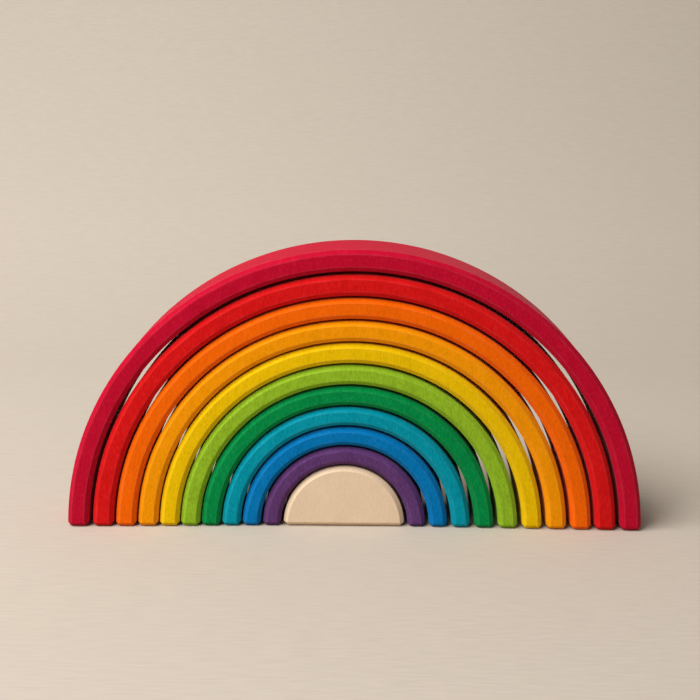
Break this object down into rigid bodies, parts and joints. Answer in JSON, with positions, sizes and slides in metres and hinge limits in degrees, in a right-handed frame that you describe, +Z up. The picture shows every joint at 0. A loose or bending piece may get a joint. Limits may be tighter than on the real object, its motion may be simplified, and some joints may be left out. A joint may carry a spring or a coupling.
{
  "type": "rainbow stacker",
  "caption": "Wooden stacking toy: coloured half-circle arches with chamfered edges nest over one another and over a solid half-round, and lift off singly.",
  "frame": {"origin": "on the floor, midway between the feet of the largest arch and midway from front to back", "axes": "+X to the right along the row of feet, +Y from the front to the back, +Z upwards"},
  "size_m": [0.3806, 0.06, 0.1862],
  "materials": {
    "natural_wood": "bare sanded wood, fine grain, matt",
    "purple_stain": "purple water stain on sanded wood, grain showing through, matt",
    "blue_stain": "blue water stain on sanded wood, grain showing through, matt",
    "teal_stain": "teal water stain on sanded wood, grain showing through, matt",
    "green_stain": "green water stain on sanded wood, grain showing through, matt",
    "lime_stain": "lime water stain on sanded wood, grain showing through, matt",
    "yellow_stain": "yellow water stain on sanded wood, grain showing through, matt",
    "amber_stain": "amber water stain on sanded wood, grain showing through, matt",
    "orange_stain": "orange water stain on sanded wood, grain showing through, matt",
    "red_stain": "red water stain on sanded wood, grain showing through, matt",
    "crimson_stain": "crimson water stain on sanded wood, grain showing through, matt"
  },
  "bodies": {
    "half_round": {"half_round": "natural_wood"},
    "purple_arch": {"purple_arch": "purple_stain"},
    "blue_arch": {"blue_arch": "blue_stain"},
    "teal_arch": {"teal_arch": "teal_stain"},
    "green_arch": {"green_arch": "green_stain"},
    "lime_arch": {"lime_arch": "lime_stain"},
    "yellow_arch": {"yellow_arch": "yellow_stain"},
    "amber_arch": {"amber_arch": "amber_stain"},
    "orange_arch": {"orange_arch": "orange_stain"},
    "red_arch": {"red_arch": "red_stain"},
    "crimson_arch": {"crimson_arch": "crimson_stain"}
  },
  "joints": [
    {"name": "purple_lift", "type": "slide", "parent": "half_round", "child": "purple_arch", "axis": [0, 0, 1], "range_m": [0, 0.0515]},
    {"name": "blue_lift", "type": "slide", "parent": "purple_arch", "child": "blue_arch", "axis": [0, 0, 1], "range_m": [0, 0.0648]},
    {"name": "teal_lift", "type": "slide", "parent": "blue_arch", "child": "teal_arch", "axis": [0, 0, 1], "range_m": [0, 0.0784]},
    {"name": "green_lift", "type": "slide", "parent": "teal_arch", "child": "green_arch", "axis": [0, 0, 1], "range_m": [0, 0.0922]},
    {"name": "lime_lift", "type": "slide", "parent": "green_arch", "child": "lime_arch", "axis": [0, 0, 1], "range_m": [0, 0.1063]},
    {"name": "yellow_lift", "type": "slide", "parent": "lime_arch", "child": "yellow_arch", "axis": [0, 0, 1], "range_m": [0, 0.1206]},
    {"name": "amber_lift", "type": "slide", "parent": "yellow_arch", "child": "amber_arch", "axis": [0, 0, 1], "range_m": [0, 0.1351]},
    {"name": "orange_lift", "type": "slide", "parent": "amber_arch", "child": "orange_arch", "axis": [0, 0, 1], "range_m": [0, 0.1499]},
    {"name": "red_lift", "type": "slide", "parent": "orange_arch", "child": "red_arch", "axis": [0, 0, 1], "range_m": [0, 0.1648]},
    {"name": "crimson_lift", "type": "slide", "parent": "red_arch", "child": "crimson_arch", "axis": [0, 0, 1], "range_m": [0, 0.1801]}
  ]
}
